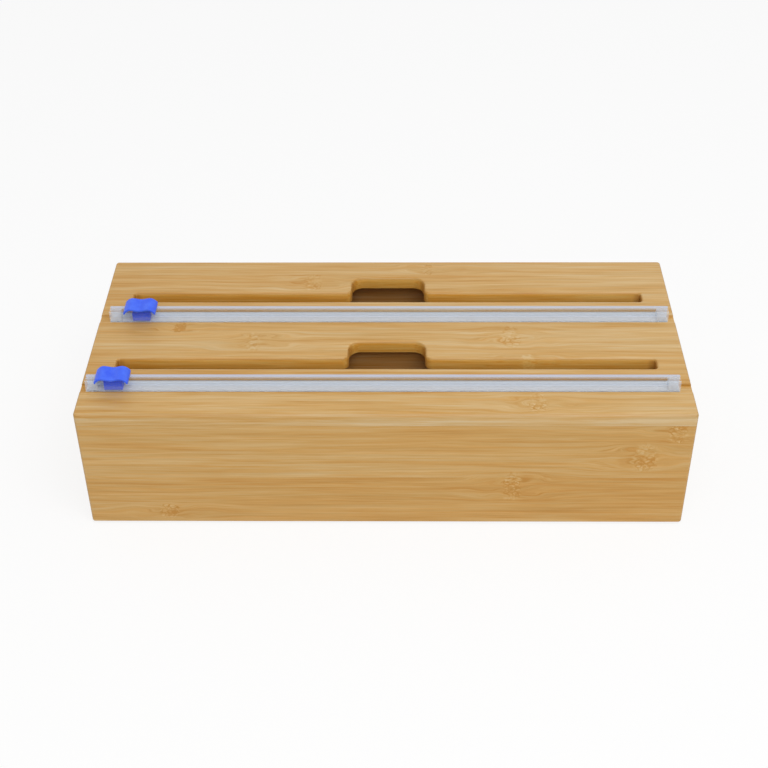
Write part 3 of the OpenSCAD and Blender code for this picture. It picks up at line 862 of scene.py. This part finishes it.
def magnet_cutters(low):
    """Round holes for the lid's two magnets."""
    magnet_low, magnet_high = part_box("lid_magnets")
    radius = (magnet_high.y - magnet_low.y) / 2
    middle_y = (magnet_high.y + magnet_low.y) / 2
    turns = [2 * math.pi * step / MAGNET_STEPS for step in range(MAGNET_STEPS)]
    for middle_x in (magnet_low.x + radius, magnet_high.x - radius):
        circle = [(middle_x + (radius + GLUE_GAP) * math.cos(angle),
                   middle_y + (radius + GLUE_GAP) * math.sin(angle)) for angle in turns]
        yield ring_solid("magnet_cutter", [[(*point, height) for point in circle]
                                           for height in (low.z - OVERCUT, magnet_high.z)])


def carved(slab, cutters, name):
    """A slab's mesh with its cutters taken out of it. The slab and the cutters are used up."""
    for cutter in cutters:
        cut = slab.modifiers.new("cut", "BOOLEAN")
        cut.object = cutter
        cut.operation = "DIFFERENCE"
        cut.solver = "EXACT"
    mesh = bpy.data.meshes.new_from_object(slab.evaluated_get(bpy.context.evaluated_depsgraph_get()))
    mesh.name = name
    for scrap in [slab] + cutters:
        bpy.data.objects.remove(scrap)
    shape = bmesh.new()
    shape.from_mesh(mesh)
    crease(shape)
    shape.to_mesh(mesh)
    shape.free()
    return mesh


def carved_lid():
    """The lid with its slots, rail seats, magnet holes and hinge seats, almost shut on the rim."""
    low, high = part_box("lid_panel")
    low = low - Vector((0.0, 0.0, SEAM_SHUT))
    cutters = [slot_cutter(loop, low, high) for loop in slot_loops()]
    for rail, tape in (("front_cutter_rail", "front_rail_tape"), ("rear_cutter_rail", "rear_rail_tape")):
        cutters.append(rail_seat_cutter(rail, tape, low, high))
    cutters.extend(magnet_cutters(low))
    for leaf in ("left_hinge_lid_leaf", "right_hinge_lid_leaf"):
        cutters.append(hinge_seat_cutter(leaf, low, high))
    mesh = carved(lid_slab(low, high), cutters, "lid_panel_finish")
    piece = stand_in(bpy.data.objects.new("lid_panel_finish", mesh), "lid_panel")
    evened = piece.modifiers.new("even_shading", "WEIGHTED_NORMAL")
    evened.keep_sharp = True
    return piece


# Finishes of the dispenser, with knuckles as knuckle_masks takes them

LID_KNUCKLES = [(-46.5, 50.5, 11.0, 18.0, -22.0, 0.0), (25.2, 65.0, 9.0, 12.0, -15.0, 0.0),
                (-79.4, -12.0, 8.0, 19.0, -18.0, 0.0), (-124.7, 2.0, 7.0, 10.0, 14.0, 0.4),
                (74.5, -8.0, 11.0, 23.0, -30.0, 0.0), (83.7, -27.5, 8.0, 6.0, 10.0, -0.3),
                (86.2, -70.5, 11.0, 17.0, -20.0, 0.0)]
FRONT_KNUCKLES = [(73.4, 29.9, 10.0, 23.0, 38.0, 0.0), (148.4, 52.5, 13.5, 21.0, -42.0, 0.0),
                  (165.0, 71.0, 11.0, 15.0, -20.0, 0.0), (-128.0, 10.0, 12.0, 13.0, 20.0, 0.0)]
BACK_KNUCKLES = [(-96.0, 45.0, 12.0, 20.0, 30.0, 0.0), (58.0, 25.0, 12.0, 20.0, -30.0, 0.0)]
END_KNUCKLES = [(-30.0, 33.0, 12.0, 20.0, 25.0, 0.0), (36.0, 53.0, 12.0, 20.0, 20.0, 0.0)]
BASE_KNUCKLES = [(-60.0, -40.0, 12.0, 20.0, 30.0, 0.0), (90.0, 10.0, 12.0, 20.0, -30.0, 0.0)]
DIVIDER_KNUCKLES = [(-20.0, 40.0, 12.0, 20.0, 30.0, 0.0)]

lid_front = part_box("lid_panel")[0].y / MM
box_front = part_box("front_panel")[0].y / MM
box_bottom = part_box("front_panel")[0].z / MM

lid_wood = bamboo("lid_bamboo", X, Y, lid_front, LID_KNUCKLES, seed=3.0, tint=LID_TINT, drift=0.0006,
                  faces=lid_faces)
front_wood = bamboo("front_bamboo", X, Z, box_bottom - FRONT_STRIP_DROP, FRONT_KNUCKLES, seed=11.0,
                    tint=FRONT_TINT, contrast=0.8, drift=-0.0003)
back_wood = bamboo("back_bamboo", X, Z, box_bottom - BACK_STRIP_DROP, BACK_KNUCKLES, seed=23.0)
end_wood = bamboo("end_bamboo", Y, Z, box_bottom - END_STRIP_DROP, END_KNUCKLES, seed=37.0)
# the base panel and the divider are darkened all over with painted shade inside the box
inner_wood = bamboo("inner_bamboo", X, Y, box_front, BASE_KNUCKLES, seed=51.0, tint=INNER_SHADE_TINT)
divider_wood = bamboo("divider_bamboo", X, Z, box_bottom, DIVIDER_KNUCKLES, seed=63.0, tint=INNER_SHADE_TINT)
dowel_wood = plain_wood("dowel_beech", rgb(214, 184, 136), Y)
front_rail_clear = rail_plastic("front_rail_plastic", "front_cutter_rail")
rear_rail_clear = rail_plastic("rear_rail_plastic", "rear_cutter_rail")
stop_clear = stop_plastic("stop_clear_plastic")
slider_blue = blue_plastic("slider_blue_plastic")
hinge_metal = brushed_metal("hinge_brushed_steel", rgb(196, 197, 200), roughness=0.34)
blade_metal = brushed_metal("blade_ground_steel", rgb(206, 208, 212), roughness=0.22)
magnet_metal = brushed_metal("magnet_nickel", rgb(214, 214, 218), roughness=0.2)
foot_black = speckled("foot_rubber", rgb(38, 38, 40), roughness=0.78, speck_size=0.5, relief=0.05 * MM)
tape_white = speckled("tape_foam", rgb(236, 243, 252), roughness=0.85, speck_size=1.5, relief=0.005 * MM)


# Dressing the dispenser: each softened node has its top, bottom and side radius in millimetres

CASE_LEAVES = ("left_hinge_case_leaf", "right_hinge_case_leaf")
LID_LEAVES = ("left_hinge_lid_leaf", "right_hinge_lid_leaf")
PINS_AND_SCREWS = ("left_hinge_pin", "right_hinge_pin", "hinge_case_screws", "hinge_lid_screws")
MAGNETS = ("case_magnets", "lid_magnets")

wear(carved_lid(), lid_wood)

for node, radii, material, fitted in (
        ("front_panel", (0.03, 0.6, 0.12), front_wood, MAGNETS),
        ("back_panel", (0.2, 0.6, 0.12), back_wood, CASE_LEAVES + LID_LEAVES),
        ("left_end_panel", (0.2, 0.6, 0.12), end_wood, ("divider_panel",)),
        ("right_end_panel", (0.2, 0.6, 0.12), end_wood, ("divider_panel",)),
        ("divider_panel", (0.8, 0.12, 0.12), divider_wood, ()),
        ("front_slider", (0.25, 0.25, 0.25), slider_blue, ()),
        ("rear_slider", (0.25, 0.25, 0.25), slider_blue, ()),
        ("front_cutter_rail", (0.2, 0.2, 0.15), front_rail_clear, ()),
        ("rear_cutter_rail", (0.2, 0.2, 0.15), rear_rail_clear, ()),
        ("front_rail_end_stops", (0.2, 0.1, 0.15), stop_clear, ()),
        ("rear_rail_end_stops", (0.2, 0.1, 0.15), stop_clear, ()),
        ("non_slip_feet", (0.1, 0.4, 0.1), foot_black, ())):
    wear(softened(node, *[radius * MM for radius in radii], fitted), material)

for nodes, material in (
        (("base_panel",), inner_wood),
        (("corner_dowels",), dowel_wood),
        (MAGNETS, magnet_metal),
        (CASE_LEAVES + LID_LEAVES + PINS_AND_SCREWS, hinge_metal),
        (("front_rail_tape", "rear_rail_tape"), tape_white),
        (("front_slider_blade", "rear_slider_blade"), blade_metal)):
    for node in nodes:
        wear(frame["nodes"][node], material)


# Studio: lengths are in metres, and the lens and its sensor in millimetres

WHITE = (1.0, 1.0, 1.0)
SKY_LIGHT = 0.52
FLOOR_HALF = 3.0
FLOOR_LIT = (0.78, 0.78, 0.78)
FLOOR_SEEN = (0.95, 0.95, 0.95)
FLOOR_GLOW = 0.82
KEY_PLACE = Vector((0.3, -0.82, 1.45))
KEY_AIM = Vector((0.0, 0.0, 0.05))
KEY_SIZE = (1.4, 1.0)
KEY_WATTS = 15.6
CAMERA_PLACE = Vector((0.01, -0.68, 0.5815))
CAMERA_DOWN = math.radians(38.45)
CAMERA_TURN = math.radians(-0.99)
CAMERA_ROLL = math.radians(-0.59)
NEAREST_SEEN = 0.01
SENSOR_WIDTH = 36.0
FOCAL_LENGTH = 65.44


def studio_floor():
    """A white floor that keeps the object's shadow."""
    mesh = bpy.data.meshes.new("studio_floor")
    corners = [(x * FLOOR_HALF, y * FLOOR_HALF, 0.0) for x, y in ((-1, -1), (1, -1), (1, 1), (-1, 1))]
    mesh.from_pydata(corners, [], [(0, 1, 2, 3)])
    floor = bpy.data.objects.new("studio_floor", mesh)
    bpy.context.scene.collection.objects.link(floor)
    finish = Finish("studio_floor_white")
    seen = finish.seen()
    finish.set(Base_Color=finish.mix(seen, FLOOR_LIT, FLOOR_SEEN), Roughness=0.9)
    glow = finish.node("ShaderNodeEmission", None, {"Color": WHITE, "Strength": 1.0})
    matt = Value(finish, finish.shader.outputs[0])
    mixed = finish.node("ShaderNodeMixShader", None, {0: seen * FLOOR_GLOW, 1: matt, 2: glow})
    finish.feed(finish.tree.nodes["Material Output"].inputs["Surface"], mixed)
    wear(floor, finish.material)


def studio_light():
    """An even white sky, and one large soft lamp in front of the box."""
    scene = bpy.context.scene
    scene.view_settings.view_transform = "Standard"
    sky = Sky("studio_world")
    sky.set(Color=WHITE, Strength=SKY_LIGHT + sky.seen() * (1 - SKY_LIGHT))
    scene.world = sky.world
    lamp = bpy.data.lights.new("key_softbox", "AREA")
    lamp.shape = "RECTANGLE"
    lamp.size, lamp.size_y = KEY_SIZE
    lamp.energy = KEY_WATTS
    holder = bpy.data.objects.new("key_softbox", lamp)
    holder.location = KEY_PLACE
    holder.rotation_euler = (KEY_AIM - KEY_PLACE).to_track_quat("-Z", "Y").to_euler()
    scene.collection.objects.link(holder)


def photo_camera():
    """The photograph's viewpoint, found from the edges of the box."""
    ahead = Vector((math.sin(CAMERA_TURN) * math.cos(CAMERA_DOWN),
                    math.cos(CAMERA_TURN) * math.cos(CAMERA_DOWN), -math.sin(CAMERA_DOWN)))
    level = Vector((math.cos(CAMERA_TURN), -math.sin(CAMERA_TURN), 0.0))
    above = level.cross(ahead)
    right = level * math.cos(CAMERA_ROLL) + above * math.sin(CAMERA_ROLL)
    up = above * math.cos(CAMERA_ROLL) - level * math.sin(CAMERA_ROLL)
    lens = bpy.data.cameras.new("photo_camera")
    lens.sensor_width = SENSOR_WIDTH
    lens.lens = FOCAL_LENGTH
    lens.clip_start = NEAREST_SEEN
    camera = bpy.data.objects.new("photo_camera", lens)
    camera.matrix_world = Matrix((right, up, -ahead)).transposed().to_4x4()
    camera.location = CAMERA_PLACE
    bpy.context.scene.collection.objects.link(camera)
    bpy.context.scene.camera = camera


studio_floor()
studio_light()
photo_camera()
